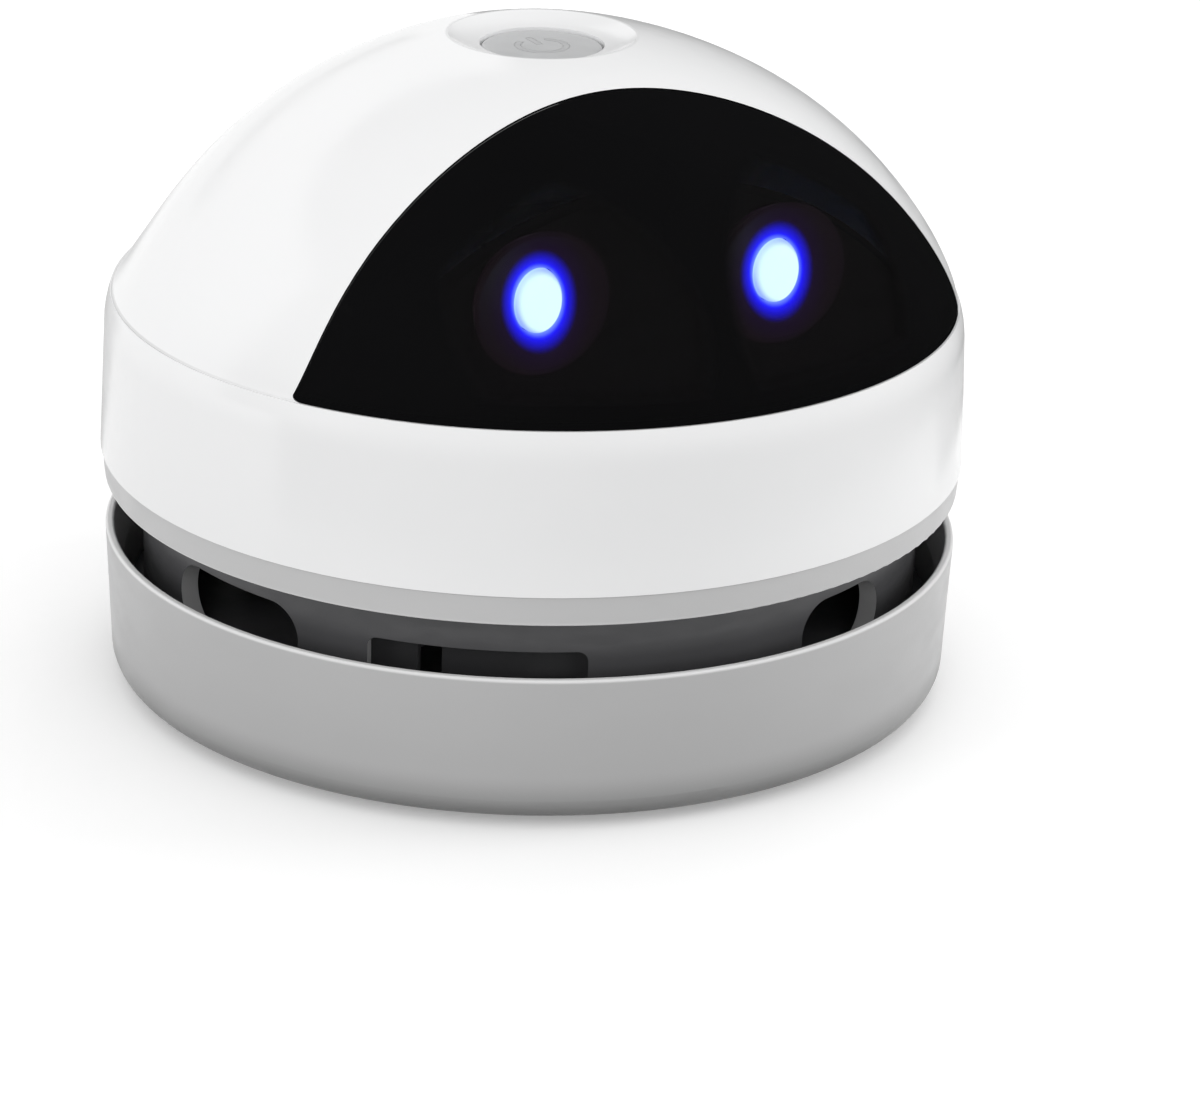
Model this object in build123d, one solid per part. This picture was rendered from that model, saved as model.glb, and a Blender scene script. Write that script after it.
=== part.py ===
from build123d import *
import math
import os

# Desktop mini vacuum cleaner: a domed head with a dark visor and lit eyes, over a twist-off dust cup.
#
# Millimetres.  Z is up, the floor is Z = 0 and the axis of the round body is X = Y = 0.
# The face looks along -Y.  Angles round the body are counted from the face, positive towards +X.
# Left and right are a viewer's who looks at the face.

# ------------------------------------------------------------------ outer form
overall_diameter = 87.0      # widest, at the white skirt's lower edge
skirt_flare = 0.5            # how much further in the skirt's upper part is
crease_height = 40.0         # floor to the narrow ledge that the dome rises from
dome_rise = 26.9             # ledge to the dome's apex, before the finger dish is sunk
dome_fullness = 2.0          # swell of the dome outside a plain cap of a sphere
dome_lean = 1.8              # how far the dome leans towards the face
ledge_width = 0.8
shoulder_height = 3.5        # the skirt's side curves in over this height
shoulder_depth = 0.62        # how far it curves in

# ------------------------------------------------------------------ levels, from the floor up
foot_stand_out = 0.7         # how far the feet lift the cup off the floor
cup_rim_height = 15.6
air_gap = 5.5                # open gap between the cup's rim and the head
ring_height = 3.0            # bevelled ring under the white skirt
ring_inset = 0.4             # how far the bevel runs in
ring_edge_radius = 0.25
ring_set_in = 0.15           # behind the skirt's face, for a fine line between the two

# ------------------------------------------------------------------ walls and clearances
shell_wall = 2.4
chassis_floor = 1.8
cup_wall = 1.6
cup_floor = 1.6
band_wall = 2.0
joint_gap = 0.1              # between fixed pieces that are assembled side by side
slide_gap = 0.15             # between a pushed piece and its guide
shaft_gap = 0.05             # radial, shaft in bush
turn_gap = 0.2               # between the head's band and what turns against it

# ------------------------------------------------------------------ visor and eyes
visor_arc_radius = 38.47     # outline of the visor seen from the front
visor_arc_drop = 13.94       # centre of that arc below the ledge
visor_tip_radius = 0.45
visor_thickness = 1.5
visor_ledge = 1.3            # shelf in the shell that the visor is glued to
eye_spacing = 25.2
eye_height = 8.2             # above the ledge
eye_depth = 25.8             # axis of the body to the plane that the lenses stand on
eye_half_width = 2.4
eye_half_height = 3.15
eye_cup_radius = 7.0
eye_cup_depth = 0.9
eye_cup_wall = 0.7
mask_thickness = 1.2
mask_clearance = 1.6         # from the mask's edge to the inside of the visor
mask_leg_width = 6.0
mask_leg_offset = 7.0        # outwards from the eye
mask_foot_reach = 6.0
mask_foot_height = 1.6
mask_screw_offset = 3.2      # behind the mask's back
mask_pin_radius = 1.5
mask_pin_offset = 3.0
mask_drop = 4.0              # the mask's lower edge below the ledge
lens_nose_radius = 1.5
lens_stand_out = 1.8         # in front of the plane of the eyes
lens_flange = 0.8
lens_flange_height = 0.6
led_radius = 2.5
led_rim = 0.4
led_rim_height = 0.9
led_leg_offset = 1.27
led_leg_side = 0.5
led_leg_end = 1.2            # leg beyond the board's back
led_board_thickness = 1.2
led_board_gap = 3.2          # from the mask's back to the board
led_board_margin = 3.0       # board beyond the lamps' middles
led_board_height = 8.0

# ------------------------------------------------------------------ power button and its switch
button_radius = 6.0
button_travel = 1.5
button_set_down = 0.2        # face below the inner edge of the dish
button_skirt_height = 4.1
button_flange = 1.3          # how far the flange stands out of the skirt
button_flange_height = 0.9
button_wall = 1.2
button_edge_radius = 0.4
button_stem_radius = 1.8
dish_radius = 9.5
dish_depth = 1.0
dish_rim_width = 0.25
guide_wall = 1.8
switch_side = 6.0
switch_height = 3.5
plunger_side = 2.4
plunger_sink = 0.8           # plunger left inside the switch at rest
switch_board_length = 18.0
switch_board_width = 14.0
switch_board_thickness = 1.0
switch_bracket_thickness = 1.6
switch_screw_offset = 13.0
switch_screw_bite = 5.5
spring_wire = 0.5
spring_turns = 3
spring_seat_gap = 0.02

# ------------------------------------------------------------------ motor, fan and fan housing
motor_radius = 10.1
motor_flat_half = 7.7        # half the distance across the motor's two flats
motor_can_height = 19.0
motor_cap_height = 4.5
motor_nose_radius = 3.0
motor_nose_height = 1.5
clamp_wall = 1.5
clamp_height = 12.0
clamp_ear_reach = 15.6
clamp_ear_width = 8.0
clamp_ear_height = 2.0
motor_tag_offset = 6.0
motor_tag_width = 2.0
motor_tag_thickness = 0.4
motor_tag_height = 2.4
shaft_radius = 1.0
bush_radius = 2.0
bush_height = 2.4
band_set_back = 3.8          # band behind the lower edge of the bevelled ring
band_groove_depth = 0.5      # the band's top edge stands in a groove of the chassis
impeller_clearance = 6.8     # blade tips to the inside of the band
blade_count = 9
blade_height = 5.8
blade_thickness = 1.0
blade_inner_radius = 11.0
blade_sweep = 38.0           # angle between a blade's inner and outer ends
impeller_plate = 1.0
impeller_drop = 1.7          # chassis to the impeller's back plate
hub_radius = 4.5
inlet_radius = 14.0
inlet_plate_thickness = 1.2
inlet_plate_underside = 9.8
guard_bar = 1.4
window_height = 6.8
window_middle = 14.6
wide_window_width = 17.7
wide_window_at = -72.8
narrow_window_width = 12.4
narrow_window_at = 25.2
post_radius = 2.6
post_angles = (0.0, 64.0, 180.0, 244.0)

# ------------------------------------------------------------------ bayonet between head and cup
bayonet_at = -33.1           # middle of the groove
bayonet_span = 31.0
bayonet_top = 16.9
bayonet_corner = 1.0
lug_width = 7.0              # degrees
lug_play = 1.0               # degrees, each side of the lug
lug_height = 1.8
lug_underside = 11.6
lug_reach = 1.6              # into the band's groove
lug_end_gap = 0.6            # lug to the groove's floor
groove_backing = 1.1
relief_slit_width = 2.4
relief_slit_offset = 7.3     # degrees, from the groove's middle to the slit

# ------------------------------------------------------------------ filter
seat_height = 6.3            # top of the ring in the cup that the filter's seal rests on
seat_wall = 1.4
seal_height = 0.6
filter_flange_height = 1.0
filter_frame_height = 2.0
filter_frame_width = 3.6
filter_flange_gap = 0.4      # to the inside of the cup
filter_mesh_thickness = 0.3
filter_mesh_margin = 2.0     # overlap of mesh and frame
filter_spokes = 6
filter_spoke_width = 1.4

# ------------------------------------------------------------------ dust cup
cup_draft = 2.3              # degrees
cup_set_in = 0.4             # the rim behind the skirt's lower edge
cup_bottom_radius = 2.4
cup_floor_radius = 1.2       # inside, between wall and floor
cup_rim_radius = 0.3
cup_rim_wall = 0.8           # the wall thins towards the rim
cup_rim_taper = 4.0          # over this height
nozzle_length = 42.0
nozzle_width = 10.0
nozzle_end_wall = 1.6
nozzle_side_wall = 3.6
nozzle_lip_height = 2.1      # above the cup's floor
brush_groove_width = 2.0
brush_groove_depth = 2.3
brush_bar_height = 1.5
bristle_width = 1.4
bristle_floor_gap = 0.15
foot_radius = 3.5
foot_sink = 0.5
foot_circle = 33.0
foot_angles = (45.0, 135.0, 225.0, 315.0)

# ------------------------------------------------------------------ battery and charging board
cell_radius = 7.1
cell_length = 50.0
cell_lift = 1.2
cell_to_clamp = 1.5
cradle_width = 3.0
cradle_wall = 1.4
cradle_offset = 14.0
cradle_mouth_half = 5.6
cell_tip_radius = 2.6
cell_tip_height = 1.2
end_stop_gap = 0.3
end_stop_width = 9.0
end_stop_thickness = 1.4
end_stop_height = 11.0
board_thickness = 1.2
board_width = 24.0
board_rim_gap = 1.8          # board to the inside of the skirt
chip_length = 5.0
chip_width = 3.2
chip_height = 1.5
coil_radius = 1.9
coil_height = 2.2
board_post_height = 7.5
board_post_radius = 2.2
board_post_offset = 8.6
socket_width = 8.94
socket_height = 3.26
socket_length = 7.3
socket_wall = 0.3
socket_back = 1.2            # closed end of the socket
tongue_width = 6.6
tongue_thickness = 0.7
socket_recess = 1.4          # mouth of the socket inside the skirt's outer face
socket_hole_gap = 0.25

# ------------------------------------------------------------------ screws
screw_radius = 1.0
screw_head_radius = 1.9
screw_head_height = 1.3
screw_hole_gap = 0.1
screw_bite = 7.0             # length of thread in a boss
boss_radius = 2.8
shell_boss_height = 10.0
shell_screw_angles = (-30.0, 30.0, 149.0, 211.0)
floor_screw_bite = 1.4       # thread in the chassis's floor
board_screw_bite = 5.0
lip_height = 2.4
lip_wall = 2.0

# ------------------------------------------------------------------ worked out from the sizes above
body_radius = overall_diameter / 2
top_radius = body_radius - skirt_flare
dome_radius = top_radius - ledge_width
sphere_radius = (dome_radius**2 + dome_rise**2) / (2 * dome_rise)
sphere_drop = sphere_radius - dome_rise          # centre of that sphere below the ledge
shell_inside = top_radius - shell_wall
ring_bottom = cup_rim_height + air_gap
skirt_bottom = ring_bottom + ring_height
ring_bottom_radius = body_radius - ring_inset
chassis_top = ring_bottom + chassis_floor
lip_top = skirt_bottom + lip_height
lip_radius = shell_inside - joint_gap
lip_inside = lip_radius - lip_wall

band_radius = ring_bottom_radius - band_set_back
band_inside = band_radius - band_wall
inlet_plate_top = inlet_plate_underside + inlet_plate_thickness
seal_top = seat_height + seal_height
flange_top = seal_top + filter_flange_height
band_bottom = flange_top + turn_gap
groove_floor = band_radius - lug_reach - lug_end_gap
post_circle = band_inside - post_radius - joint_gap
shell_screw_circle = shell_inside - boss_radius - cup_wall - 0.9
impeller_radius = band_inside - impeller_clearance
impeller_top = ring_bottom - impeller_drop
blade_top = impeller_top - impeller_plate
blade_bottom = blade_top - blade_height

cup_floor_top = foot_stand_out + cup_floor
cup_outside = body_radius - cup_set_in
lug_inside = band_radius - lug_reach
nozzle_top = cup_floor_top + nozzle_lip_height
filter_frame_radius = band_inside - turn_gap
filter_frame_inside = filter_frame_radius - filter_frame_width
seat_radius = filter_frame_radius - joint_gap

dish_share = (dish_radius / dome_radius)**2
dish_rim = (crease_height + math.sqrt(sphere_radius**2 - dish_radius**2) - sphere_drop
            + dome_fullness * dish_share * (1 - dish_share))
dish_bottom = dish_rim - dish_depth
button_face = dish_bottom - button_set_down
button_skirt_bottom = button_face - button_skirt_height
button_flange_bottom = button_skirt_bottom - button_flange_height
button_flange_radius = button_radius + button_flange
button_bore = button_radius + slide_gap
guide_bottom = button_skirt_bottom + turn_gap
switch_board_top = button_flange_bottom - button_travel - switch_height - 0.8
switch_top = switch_board_top + switch_height
plunger_top = switch_top + button_travel + joint_gap
bracket_top = switch_board_top - switch_board_thickness
bracket_bottom = bracket_top - switch_bracket_thickness

eye_level = crease_height + eye_height
eye_offsets = {"left": -eye_spacing / 2, "right": eye_spacing / 2}
mask_front = -eye_depth + 0.2
mask_back = mask_front + mask_thickness
led_board_front = mask_back + led_board_gap

clamp_radius = motor_radius + joint_gap + clamp_wall
cell_middle = clamp_radius + cell_to_clamp + cell_radius
cell_level = chassis_top + cell_lift + cell_radius
board_bottom = chassis_top + board_post_height
board_top = board_bottom + board_thickness
board_front = cell_middle + cell_radius + 0.9
board_back = shell_inside - board_rim_gap
board_screw_line = board_front + board_post_radius + 1.2
socket_mouth = body_radius - socket_recess
socket_level = board_top + socket_height / 2

FACE = Plane.XZ                                   # drawn as seen from the front, extrudes towards it


# ------------------------------------------------------------------ helpers
def disc(radius, low, high, at=(0, 0)):
    """Upright cylinder between two levels."""
    return Pos(at[0], at[1], low) * extrude(Circle(radius), high - low)


def ring(outer, inner, low, high):
    """Upright tube between two levels, on the body's axis."""
    return Pos(0, 0, low) * extrude(Circle(outer) - Circle(inner), high - low)


def block(x0, x1, y0, y1, z0, z1):
    """Box between three pairs of planes."""
    return Pos((x0 + x1) / 2, (y0 + y1) / 2, (z0 + z1) / 2) * Box(x1 - x0, y1 - y0, z1 - z0)


def around(angle, radius):
    """Point on a circle round the body, the angle counted from the face."""
    turn = math.radians(angle)
    return (radius * math.sin(turn), -radius * math.cos(turn))


def turned(angle, shape):
    """Shape drawn at the face, carried round the body."""
    return Rot(0, 0, angle) * shape


def sector(outer, inner, low, high, middle, span):
    """Part of a tube, span degrees wide."""
    half = math.radians(span / 2)
    far = outer * 1.5
    corner = far * math.tan(half)
    wedge = extrude(Polygon((0, 0), (-corner, -far), (corner, -far), align=None), high - low)
    return turned(middle, ring(outer, inner, low, high) & Pos(0, 0, low) * wedge)


def dome_height(radius, inset=0.0):
    """Height of the dome over its ledge at a radius, or of a surface inset under it."""
    cap = math.sqrt((sphere_radius - inset)**2 - radius**2) - sphere_drop
    share = (radius / dome_radius)**2
    return cap + dome_fullness * share * (1 - share)


def dome_solid(inset=0.0, sections=7):
    """Solid under the dome's surface, or under one inset from it, lofted through leaning circles.

    The dome ends in a small flat at the rim of the finger dish, where the lean has died away.
    """
    radius = sphere_radius - inset
    first = math.acos(sphere_drop / radius)
    last = math.asin(dish_radius / radius)
    circles = []
    for step in range(sections):
        angle = first + (last - first) * step / (sections - 1)
        circle = radius * math.sin(angle)
        height = 0.0 if step == 0 else dome_height(circle, inset)
        rise = height / dome_height(dish_radius)
        lean = -dome_lean * (1 - (2 * rise - 1)**4)
        circles.append(Plane((0, lean, crease_height + height)) * Circle(circle))
    return loft(circles)


def skirt_solid():
    """Solid under the skirt's outer face, with the shoulder that curves in under the ledge."""
    low = crease_height - shoulder_height
    sphere = (shoulder_depth**2 + shoulder_height**2) / (2 * shoulder_depth)
    half = math.asin(shoulder_height / sphere) / 2
    middle = (top_radius - sphere * (1 - math.cos(half)), low + sphere * math.sin(half))
    side = Line((body_radius, skirt_bottom), (top_radius, low))
    curve = ThreePointArc(side @ 1, middle, (top_radius - shoulder_depth, crease_height))
    close = Polyline(curve @ 1, (0, crease_height), (0, skirt_bottom), side @ 0)
    return revolve(Plane.XZ * make_face(side + curve + close), Axis.Z)


def visor_prism(inset=0.0, low=0.0):
    """Everything in front of the axis inside the visor's outline, drawn in by the inset."""
    radius = visor_arc_radius - inset
    arc = Pos(0, crease_height - visor_arc_drop) * Circle(radius)
    over = Pos(0, crease_height + low + radius) * Rectangle(4 * radius, 2 * radius)
    outline = arc & over
    tips = outline.vertices().sort_by(Axis.Z)[:2]
    outline = fillet(tips, max(visor_tip_radius - inset / 2, 0.3))
    return extrude(FACE * outline, body_radius * 1.2)


def screw(length, at=(0, 0), seat=0.0):
    """Pan-head screw pointing up, its head's bearing face at the seat's level."""
    head = disc(screw_head_radius, seat - screw_head_height, seat, at)
    head = chamfer(head.edges().group_by(Axis.Z)[0], screw_head_height * 0.4)
    slot = block(-screw_head_radius, screw_head_radius, -0.25, 0.25, 0, 0.6)
    cross = slot + Rot(0, 0, 90) * slot
    head -= Pos(at[0], at[1], seat - screw_head_height - 0.01) * cross
    return head + disc(screw_radius, seat, seat + length, at)


def screw_hole(low, high, at):
    return disc(screw_radius + screw_hole_gap, low, high, at)


# ------------------------------------------------------------------ head: outside
def head_shell():
    """White dome and skirt in one moulding, with the visor's opening and the button's guide."""
    outside = skirt_solid() + dome_solid()
    inside = disc(shell_inside, skirt_bottom, crease_height) + dome_solid(shell_wall)
    shell = outside - inside

    shelf = visor_thickness + joint_gap / 2
    recess = visor_prism(-joint_gap / 2) - dome_solid(shelf)
    opening = visor_prism(visor_ledge)
    shell -= recess
    shell -= opening & disc(dome_radius - ledge_width, crease_height, crease_height + dome_rise)

    shell += button_guide()
    shell -= finger_dish()
    shell -= disc(button_bore, guide_bottom - 1, dish_rim)
    shell += shell_bosses()
    shell += bracket_bosses()
    shell -= socket_hole()
    return shell


def finger_dish():
    """Shallow bowl sunk round the button."""
    edge = dish_radius - dish_rim_width
    flat = Line((0, dish_bottom), (button_radius, dish_bottom))
    middle = ((button_radius + edge) / 2, dish_bottom + dish_depth * 0.3)
    curve = ThreePointArc(flat @ 1, middle, (edge, dish_rim))
    close = Polyline(curve @ 1, (edge, dish_rim + 2), (0, dish_rim + 2), flat @ 0)
    return revolve(Plane.XZ * make_face(flat + curve + close), Axis.Z)


def button_guide():
    return disc(button_bore + guide_wall, guide_bottom, dish_rim)


def shell_bosses():
    """Bosses on the skirt's inside that take the four screws through the chassis."""
    bosses = Part()
    for angle in shell_screw_angles:
        low = lip_top + joint_gap
        high = low + shell_boss_height
        web = block(-1.0, 1.0, -shell_inside - 0.4, -shell_screw_circle, low, high)
        boss = disc(boss_radius, low, high, around(0, shell_screw_circle)) + web
        boss -= screw_hole(low - 1, low + screw_bite + 1, around(0, shell_screw_circle))
        bosses += turned(angle, boss)
    return bosses


def bracket_bosses():
    """Two bosses hanging from the dome for the switch bracket."""
    bosses = Part()
    for at in bracket_holes():
        boss = disc(boss_radius - 0.4, bracket_top, crease_height + dome_rise, at)
        boss &= dome_solid(shell_wall / 2)
        bosses += boss - screw_hole(bracket_top - 1, bracket_top + switch_screw_bite, at)
    return bosses


def socket_hole():
    """Opening in the back of the skirt for the charging plug."""
    high = socket_height + 2 * socket_hole_gap
    outline = Pos(0, socket_level) * SlotOverall(socket_width + 2 * socket_hole_gap, high)
    hole = extrude(FACE * outline, body_radius + 2) - disc(shell_inside - 2, 0, crease_height)
    return Rot(0, 0, 180) * hole


def visor():
    """Dark see-through face, flush with the dome."""
    skin = dome_solid() - dome_solid(visor_thickness)
    return skin & visor_prism(joint_gap / 2, joint_gap / 2)


# ------------------------------------------------------------------ head: face
def eye_mask():
    """Black plate behind the visor that carries the eyes, on two legs that stand on the chassis."""
    room = dome_solid(visor_thickness + mask_clearance)
    room += disc(shell_inside - mask_clearance, crease_height - mask_drop, crease_height)
    low = crease_height - mask_drop
    plate = block(-body_radius, body_radius, mask_front, mask_back, low, crease_height + dome_rise)
    plate &= room
    for middle, line in mask_holes():
        left, right = middle - mask_leg_width / 2, middle + mask_leg_width / 2
        plate += block(left, right, mask_front, mask_back, chassis_top, crease_height + 2)
        plate += block(left, right, mask_front, mask_back + mask_foot_reach, chassis_top,
                       chassis_top + mask_foot_height)
        plate -= screw_hole(chassis_top - 1, chassis_top + mask_foot_height + 1, (middle, line))
    for offset in eye_offsets.values():
        plate -= eye_prism(offset, joint_gap, mask_front - 1, mask_back + 1)
    for side in (-1, 1):
        pin = FACE * (Pos(side * mask_pin_offset, eye_level) * Circle(mask_pin_radius))
        plate += Pos(0, led_board_front, 0) * extrude(pin, led_board_front - mask_back + 0.2)
    return plate


def eye_prism(offset, growth, front, back):
    """Oval prism along Y at one eye."""
    outline = Pos(offset, eye_level) * Ellipse(eye_half_width + growth, eye_half_height + growth)
    return Pos(0, back, 0) * extrude(FACE * outline, back - front)


def eye_lens(offset):
    """Oval lens through the mask, with a rounded nose in front and a flange behind."""
    back = mask_back + lens_flange_height
    lens = eye_prism(offset, 0, -eye_depth - lens_stand_out, back)
    lens = fillet(lens.edges().group_by(Axis.Y)[0], lens_nose_radius)
    return lens + eye_prism(offset, lens_flange, mask_back, back)


def eye_cup(offset):
    """Shallow round dish round each lens, glued to the front of the mask."""
    front = -(eye_cup_depth + eye_cup_wall)
    rim = (eye_cup_radius - 0.5, front)
    outer = Polyline((0, 0), (eye_cup_radius - 0.6, 0), (eye_cup_radius, front), rim)
    bowl = ThreePointArc(rim, (eye_cup_radius * 0.6, -eye_cup_wall * 1.35),
                         (0, -eye_cup_wall))
    profile = make_face(outer + bowl + Line((0, -eye_cup_wall), (0, 0)))
    dish = revolve(Plane.XY * profile, Axis.Y)
    dish = Pos(offset, mask_front, eye_level) * dish
    return dish - eye_prism(offset, joint_gap, mask_front - 3, mask_front + 1)


def eye_led(offset):
    """Round lamp behind a lens, with its rim and two legs through the board."""
    length = led_board_gap - lens_flange_height - joint_gap
    seat = Pos(offset, led_board_front, eye_level)
    body = seat * extrude(FACE * Circle(led_radius), length)
    rim = seat * extrude(FACE * Circle(led_radius + led_rim), led_rim_height)
    lamp = fillet((body + rim).edges().group_by(Axis.Y)[0], 0.8)
    back = led_board_front + led_board_thickness + led_leg_end
    for side in (-led_leg_offset, led_leg_offset):
        lamp += leg_prism(offset + side, 0.0, led_board_front - 0.1, back)
    return lamp


def leg_prism(middle, growth, front, back):
    """Square prism along Y at one leg of a lamp."""
    half = led_leg_side / 2 + growth
    return block(middle - half, middle + half, front, back, eye_level - half, eye_level + half)


def led_board():
    """Board that carries both lamps, resting on two pins of the mask."""
    half = eye_spacing / 2 + led_board_margin
    back = led_board_front + led_board_thickness
    board = block(-half, half, led_board_front, back,
                  eye_level - led_board_height / 2, eye_level + led_board_height / 2)
    for offset in eye_offsets.values():
        for side in (-led_leg_offset, led_leg_offset):
            board -= leg_prism(offset + side, shaft_gap, led_board_front - 1, back + 1)
    return board


# ------------------------------------------------------------------ head: button and switch
def power_button():
    """Hollow cap with a flange under the shell and a stem on to the switch."""
    cap = disc(button_radius, button_skirt_bottom, button_face)
    cap = fillet(cap.edges().group_by(Axis.Z)[-1], button_edge_radius)
    cap += disc(button_flange_radius, button_flange_bottom, button_skirt_bottom)
    cap -= disc(button_radius - button_wall, button_flange_bottom - 1, button_face - button_wall)
    return cap + disc(button_stem_radius, plunger_top, button_face - button_wall)


def button_spring():
    """Return spring between the switch board and the button's flange."""
    mean = button_radius - button_wall / 2 + spring_wire / 2
    low = switch_board_top + spring_wire / 2 + spring_seat_gap
    high = button_flange_bottom - spring_wire / 2 - spring_seat_gap
    path = Pos(0, 0, low) * Helix((high - low) / spring_turns, high - low, mean)
    start = path @ 0
    wire = Plane(origin=start, z_dir=path % 0) * Circle(spring_wire / 2)
    return sweep(wire, path, is_frenet=True)


def push_switch():
    """Latching push switch, open at the top for its plunger."""
    half = switch_side / 2
    body = block(-half, half, -half, half, switch_board_top, switch_top)
    body = chamfer(body.edges().group_by(Axis.Z)[-1], 0.4)
    hole = plunger_side / 2 + joint_gap
    low = switch_top - plunger_sink - button_travel - 0.3
    return body - block(-hole, hole, -hole, hole, low, switch_top + 1)


def switch_plunger():
    half = plunger_side / 2
    return block(-half, half, -half, half, switch_top - plunger_sink, plunger_top)


def switch_board():
    half_length, half_width = switch_board_length / 2, switch_board_width / 2
    return block(-half_length, half_length, -half_width, half_width, bracket_top, switch_board_top)


def switch_bracket():
    """Plate that holds the switch board up under the button."""
    half_width = switch_board_width / 2
    plate = block(-switch_screw_offset, switch_screw_offset, -half_width, half_width,
                  bracket_bottom, bracket_top)
    for at in bracket_holes():
        plate += disc(boss_radius, bracket_bottom, bracket_top, at)
        plate -= screw_hole(bracket_bottom - 1, bracket_top + 1, at)
    return plate


def bracket_holes():
    return [(side * switch_screw_offset, 0) for side in (-1, 1)]


def switch_screws():
    length = switch_bracket_thickness + switch_screw_bite - 0.6
    return [screw(length, at, bracket_bottom) for at in bracket_holes()]


# ------------------------------------------------------------------ head: chassis and what stands on it
def chassis():
    """Grey tray that closes the head: the bevelled ring outside, seats for every inner piece inside."""
    top = body_radius - ring_set_in
    bevel = Polyline((0, ring_bottom), (ring_bottom_radius, ring_bottom), (top, skirt_bottom),
                     (lip_radius, skirt_bottom), (lip_radius, lip_top), (lip_inside, lip_top),
                     (lip_inside, chassis_top), (0, chassis_top), close=True)
    profile = make_face(bevel)
    edge = profile.vertices().sort_by_distance((ring_bottom_radius, ring_bottom))[0]
    tray = revolve(Plane.XZ * fillet(edge, ring_edge_radius), Axis.Z)
    tray -= ring(band_radius + joint_gap, band_inside - joint_gap,
                 ring_bottom - 1, ring_bottom + band_groove_depth)
    tray -= disc(motor_nose_radius + joint_gap, ring_bottom - 1, chassis_top + 1)

    for angle in shell_screw_angles:
        at = around(angle, shell_screw_circle)
        tray += disc(boss_radius, chassis_top - 0.5, lip_top, at)
        tray -= screw_hole(ring_bottom - 1, lip_top + 1, at)
        tray -= disc(screw_head_radius + 0.2, ring_bottom - 1, ring_bottom + screw_head_height + 0.3, at)
    for angle in post_angles:
        at = around(angle, post_circle)
        tray += disc(boss_radius, chassis_top - 0.5, chassis_top + 5.5, at)
        tray -= screw_hole(ring_bottom - 1, chassis_top + 4.5, at)
    for at in ear_holes() + mask_holes():
        tray -= screw_hole(chassis_top - floor_screw_bite - joint_gap, chassis_top + 1, at)
    tray += cell_cradle()
    tray += board_posts()
    return tray


def ear_holes():
    return [(side * (clamp_ear_reach - 1.0), 0) for side in (-1, 1)]


def mask_holes():
    return [(offset * (1 + 2 * mask_leg_offset / eye_spacing), mask_back + mask_screw_offset)
            for offset in eye_offsets.values()]


def cell_cradle():
    """Two snap-in saddles and two end stops for the cell."""
    cradle = Part()
    sleeve = cell_radius + 0.1
    for side in (-1, 1):
        middle = side * cradle_offset
        saddle = block(middle - cradle_width / 2, middle + cradle_width / 2,
                       cell_middle - sleeve - cradle_wall,
                       cell_middle + sleeve + cradle_wall, chassis_top - 0.5, cell_level + cell_radius * 0.45)
        tube = Pos(middle, cell_middle, cell_level) * Rot(0, 90, 0) * Cylinder(sleeve, cradle_width * 2)
        mouth = block(middle - cradle_width, middle + cradle_width, cell_middle - cradle_mouth_half,
                      cell_middle + cradle_mouth_half, cell_level, cell_level + cell_radius * 2)
        cradle += saddle - tube - mouth
        near = side * (cell_length / 2 + end_stop_gap)
        far = near + side * end_stop_thickness
        cradle += block(min(near, far), max(near, far), cell_middle - end_stop_width / 2,
                        cell_middle + end_stop_width / 2, chassis_top - 0.5, chassis_top + end_stop_height)
    return cradle


def board_posts():
    posts = Part()
    for at in board_holes():
        post = disc(board_post_radius, chassis_top - 0.5, board_bottom, at)
        posts += post - screw_hole(board_bottom - board_screw_bite, board_bottom + 1, at)
    return posts


def board_holes():
    return [(side * board_post_offset, board_screw_line) for side in (-1, 1)]


def motor_outline(growth=0.0):
    """Round can with two flats, seen from above."""
    width = 2 * (motor_radius + growth)
    return Circle(motor_radius + growth) & Rectangle(width, 2 * (motor_flat_half + growth))


def motor_can():
    """Steel can with its nose in the chassis, bored for the bush and the shaft."""
    can = Pos(0, 0, chassis_top) * extrude(motor_outline(), motor_can_height)
    can = fillet(can.edges().group_by(Axis.Z)[0], 0.8)
    can += disc(motor_nose_radius, chassis_top - motor_nose_height, chassis_top + 1)
    can -= disc(shaft_radius + 0.4, chassis_top - 3, chassis_top + motor_can_height + 1)
    return can - disc(bush_radius, chassis_top - 3, chassis_top - motor_nose_height + bush_height)


def motor_bush(low):
    """Plain bronze bearing."""
    return ring(bush_radius, shaft_radius + shaft_gap, low, low + bush_height)


def motor_cap():
    """Plastic end cap with the two solder tags."""
    low = chassis_top + motor_can_height
    cap = Pos(0, 0, low) * extrude(motor_outline(-0.2), motor_cap_height)
    cap = chamfer(cap.edges().group_by(Axis.Z)[-1], 0.8)
    cap -= disc(bush_radius, low - 1, low + bush_height)
    cap -= disc(shaft_radius + 0.4, low, low + motor_cap_height - 1.0)
    for side in (-1, 1):
        middle = side * motor_tag_offset
        cap += block(middle - motor_tag_width / 2, middle + motor_tag_width / 2, -motor_tag_thickness / 2,
                     motor_tag_thickness / 2,
                     low + motor_cap_height - 1, low + motor_cap_height + motor_tag_height)
    return cap


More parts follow.
